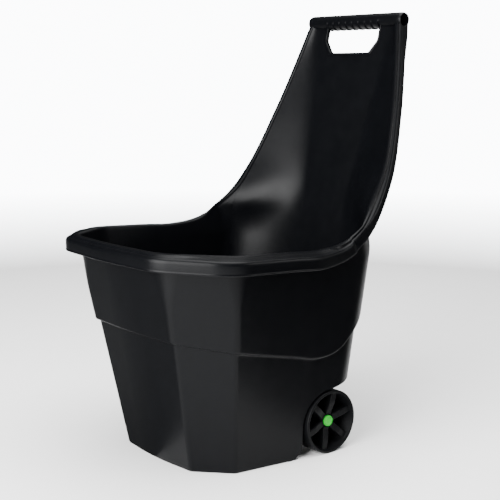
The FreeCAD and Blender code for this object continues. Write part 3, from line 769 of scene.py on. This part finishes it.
def make_cap(name, side):
    """Hub cap: a shallow dome with a raised ring round it, closed by a flat back."""
    ring = [(.0000, .0102), (.0004, .0106), (.0046, .0106), (.0056, .0103), (.0061, .0098),
            (.0062, .0093), (.0060, .0088), (.0055, .0084), (.0054, .0081), (.0056, .0078)]
    dome = [(.0056 + .0007 * math.cos(t), .0078 * math.sin(t)) for t in np.radians([75, 60, 45, 30, 15])]
    base = (WHEEL_FACE + HUB_FACE + .0004) * side
    profile = [(-.0002, 0), (-.0002, .0060), (-.0002, .0092)] + ring + dome + [(.0063, 0)]
    return turned(name, profile, (base, AXLE_Y, AXLE_Z), side, 64)


# ---------------------------------------------------------------- materials

class Field:
    """A shader value used like a number: every operator adds a Math node."""

    def __init__(self, finish, socket):
        self.finish = finish
        self.socket = socket

    def maths(self, operation, first, second, clamp=False):
        settings = {"operation": operation, "use_clamp": clamp}
        return self.finish.node("ShaderNodeMath", settings, {0: first, 1: second})

    def __add__(self, other):
        return self.maths("ADD", self, other)

    __radd__ = __add__

    def __sub__(self, other):
        return self.maths("SUBTRACT", self, other)

    def __rsub__(self, other):
        return self.maths("SUBTRACT", other, self)

    def __mul__(self, other):
        return self.maths("MULTIPLY", self, other)

    __rmul__ = __mul__

    def clipped(self):
        return self.maths("ADD", self, 0.0, clamp=True)


class Finish:
    """One material: node() adds a node from its type, its settings and its socket values or links."""

    def __init__(self, name):
        self.material = bpy.data.materials.new(name)
        self.material.use_nodes = True
        self.tree = self.material.node_tree
        self.shader = self.tree.nodes["Principled BSDF"]
        self.place = self.node("ShaderNodeTexCoord", {}, {}, "Object")

    def node(self, kind, settings, values, output=0):
        made = self.tree.nodes.new(kind)
        for key, value in settings.items():
            setattr(made, key, value)
        for key, value in values.items():
            self.feed(made.inputs[key], value)
        return Field(self, made.outputs[output])

    def feed(self, socket, value):
        if isinstance(value, Field):
            self.tree.links.new(value.socket, socket)
        else:
            socket.default_value = value

    def noise(self, scale, detail=2.0, roughness=0.5, place=None):
        return self.node("ShaderNodeTexNoise", {}, {"Vector": place or self.place, "Scale": scale,
                                                    "Detail": detail, "Roughness": roughness})

    def stretched(self, scale):
        return self.node("ShaderNodeMapping", {}, {"Vector": self.place, "Scale": scale})

    def mix(self, factor, first, second):
        return self.node("ShaderNodeMix", {"data_type": "RGBA"}, {0: factor, 6: first, 7: second}, 2)

    def bump(self, height, strength, distance, below=None):
        values = {"Height": height, "Strength": strength, "Distance": distance}
        if below is not None:
            values["Normal"] = below
        return self.node("ShaderNodeBump", {}, values)

    def set(self, **values):
        for key, value in values.items():
            self.feed(self.shader.inputs[key.replace("_", " ")], value)
        return self.material


def tub_plastic():
    """Black moulded polypropylene: satin, fine grain, slow waviness from the mould, faint rub marks."""
    f = Finish("tub_plastic")
    waves = f.noise(5.0, 1.5)
    grain = f.noise(1400.0, 2.0, 0.6)
    mottle = f.noise(38.0, 3.0, 0.6)
    streaks = f.noise(60.0, 3.0, 0.6, f.stretched((1.0, 1.0, 0.12)))
    tone = (mottle * 0.5 + streaks * 0.5).clipped()
    colour = f.mix(tone, (0.0007, 0.0008, 0.0011, 1), (0.0016, 0.0018, 0.0024, 1))
    rubs = (streaks * 6.0 - 3.6).clipped()
    rough = 0.32 + mottle * 0.10 + rubs * 0.06
    slow = f.bump(waves, 0.35, 0.004)
    fine = f.bump(grain, 0.16, 0.0004, slow)
    return f.set(Base_Color=colour, Roughness=rough, Normal=fine, Specular_IOR_Level=0.095)


def wheel_plastic():
    """Black wheel plastic: a little rougher, with dust rubbed into the tread."""
    f = Finish("wheel_plastic")
    grain = f.noise(1100.0, 2.0, 0.6)
    dust = f.noise(90.0, 4.0, 0.65)
    colour = f.mix(dust, (0.0007, 0.0008, 0.0011, 1), (0.0022, 0.0024, 0.0028, 1))
    rough = 0.42 + dust * 0.14
    return f.set(Base_Color=colour, Roughness=rough, Normal=f.bump(grain, 0.2, 0.0004),
                 Specular_IOR_Level=0.08)


def cap_plastic():
    """Green hub cap: gloss plastic with a very slight orange-peel skin."""
    f = Finish("cap_plastic")
    peel = f.noise(420.0, 2.0)
    shade = f.noise(120.0, 2.0)
    colour = f.mix(shade, (0.012, 0.27, 0.018, 1), (0.020, 0.34, 0.028, 1))
    return f.set(Base_Color=colour, Roughness=0.34 + shade * 0.08, Normal=f.bump(peel, 0.12, 0.0005),
                 Specular_IOR_Level=0.1)


def drawn_steel(name, tint, along):
    """Zinc-plated steel: fine drawing lines and a mottled plating."""
    f = Finish(name)
    lines = f.noise(500.0, 3.0, 0.6, f.stretched(along))
    plating = f.noise(160.0, 3.0, 0.6)
    colour = f.mix(plating, (tint, tint, tint * 1.02, 1), (tint * 1.25, tint * 1.25, tint * 1.3, 1))
    return f.set(Base_Color=colour, Roughness=0.26 + lines * 0.18, Metallic=1.0,
                 Normal=f.bump(lines, 0.12, 0.0003))


def floor_paint():
    """Pale floor that fades into the white world between FADE_START and FADE_END from the cart."""
    f = Finish("floor")
    speckle = f.noise(14.0, 2.0)
    colour = f.mix(speckle, (0.90, 0.90, 0.90, 1), (0.92, 0.92, 0.92, 1))
    reach = f.node("ShaderNodeVectorMath", {"operation": "LENGTH"}, {"Vector": f.place}, 1)
    span = FADE_END - FADE_START
    fade = (reach * (-1 / span) + FADE_END / span).clipped()
    return f.set(Base_Color=colour, Alpha=fade, Roughness=0.9, Specular_IOR_Level=0.0)


# ---------------------------------------------------------------- the cart

black = tub_plastic()
wheel_black = wheel_plastic()
green = cap_plastic()

tub = finish_piece(make_tub(), "tub_body", black)
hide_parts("tub")

for side, suffix in ((-1, "left"), (1, "right")):
    wheel = finish_piece(make_wheel("spoked_wheel_" + suffix, side), suffix + "_wheel",
                         wheel_black, 50.0)
    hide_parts("wheel_" + suffix)
    cap = finish_piece(make_cap("domed_cap_" + suffix, side), "axle_set", green, 60.0)
    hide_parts("hub_cap_" + suffix)

steel = {"axle": drawn_steel("axle_steel", 0.48, (0.05, 1.0, 1.0)),
         "washer": drawn_steel("washer_steel", 0.52, (1.0, 1.0, 1.0)),
         "push_nut": drawn_steel("spring_steel", 0.30, (1.0, 1.0, 1.0))}
for name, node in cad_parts.items():
    for family, material in steel.items():
        if name.startswith(family):
            node.data.materials.clear()
            node.data.materials.append(material)


# ---------------------------------------------------------------- studio

def area_light(name, place, target, size, power):
    """Soft box of a size in metres and a power in watts, turned to face a target."""
    lamp = bpy.data.lights.new(name, "AREA")
    lamp.shape = "RECTANGLE"
    lamp.size, lamp.size_y = size
    lamp.energy = power
    light = bpy.data.objects.new(name, lamp)
    light.location = place
    light.rotation_euler = (Vector(target) - Vector(place)).to_track_quat("-Z", "Y").to_euler()
    bpy.context.scene.collection.objects.link(light)


def reflected_shade_card(name, low, high, tone):
    """Card lying on the floor that paints shade into reflections only: surfaces reflect its dark tone, and
    the camera sees the floor through it.
    """
    corners = np.array([(low[0], low[1], CARD_HEIGHT), (high[0], low[1], CARD_HEIGHT),
                        (high[0], high[1], CARD_HEIGHT), (low[0], high[1], CARD_HEIGHT)])
    card = new_piece(name, corners, [[0, 1, 2, 3]])
    paint = Finish(name).set(Base_Color=(tone, tone, tone, 1), Roughness=1.0, Specular_IOR_Level=0.0)
    card.data.materials.append(paint)
    card.visible_camera = False
    card.visible_shadow = False
    card.visible_diffuse = False


def studio():
    """Pale floor, soft boxes, and floor cards that paint shade into reflections only. The camera sees a white
    world; the surfaces are lit by a dimmer one."""
    corners = [(-1, -1, 0), (1, -1, 0), (1, 1, 0), (-1, 1, 0)]
    ground = new_piece("floor", FLOOR_HALF * np.array(corners, float), [[0, 1, 2, 3]])
    ground.data.materials.append(floor_paint())
    world = bpy.data.worlds.new("studio")
    world.use_nodes = True
    background = world.node_tree.nodes["Background"]
    path = world.node_tree.nodes.new("ShaderNodeLightPath")
    level = world.node_tree.nodes.new("ShaderNodeMapRange")
    level.inputs["To Min"].default_value = WORLD_LIGHT
    level.inputs["To Max"].default_value = WORLD_SEEN
    world.node_tree.links.new(path.outputs["Is Camera Ray"], level.inputs["Value"])
    world.node_tree.links.new(level.outputs["Result"], background.inputs["Strength"])
    background.inputs["Color"].default_value = (0.96, 0.98, 1.0, 1)
    bpy.context.scene.world = world
    middle = (0, 0.05, 0.4)
    area_light("key", (0.55, -2.6, 1.15), middle, (2.3, 2.2), 360)
    area_light("overhead", (0.3, 0.2, 3.2), middle, (3.2, 3.2), 300)
    area_light("back", (-1.6, 2.4, 2.0), middle, (2.0, 1.4), 8)
    area_light("side", (2.1, 1.9, 1.3), (0.2, 0.2, 0.6), (0.9, 0.5), 26)
    # painted shade: dark cards seen only in reflections darken the near side wall's and the front wall's
    # reflection of the floor
    reflected_shade_card("side_shade_card", (0.33, 0.06), (3.0, 3.0), 0.0)
    reflected_shade_card("front_shade_card", (-3.0, -3.0), (0.0, -0.16), 0.13)


def camera():
    """Camera turned 50.4 degrees round the cart and 9.7 degrees above the horizon."""
    turn, rise = CAMERA_TURN, CAMERA_RISE
    back = Vector((math.sin(turn) * math.cos(rise), -math.cos(turn) * math.cos(rise), math.sin(rise)))
    right = Vector((math.cos(turn), math.sin(turn), 0))
    up = back.cross(right)
    data = bpy.data.cameras.new("camera")
    data.lens = CAMERA_LENS
    data.sensor_width = SENSOR_WIDTH
    view = bpy.data.objects.new("camera", data)
    facing = Matrix((right, up, back)).transposed().to_4x4()
    view.matrix_world = Matrix.Translation(CAMERA_PLACE) @ facing
    bpy.context.scene.collection.objects.link(view)
    bpy.context.scene.camera = view


studio()
camera()
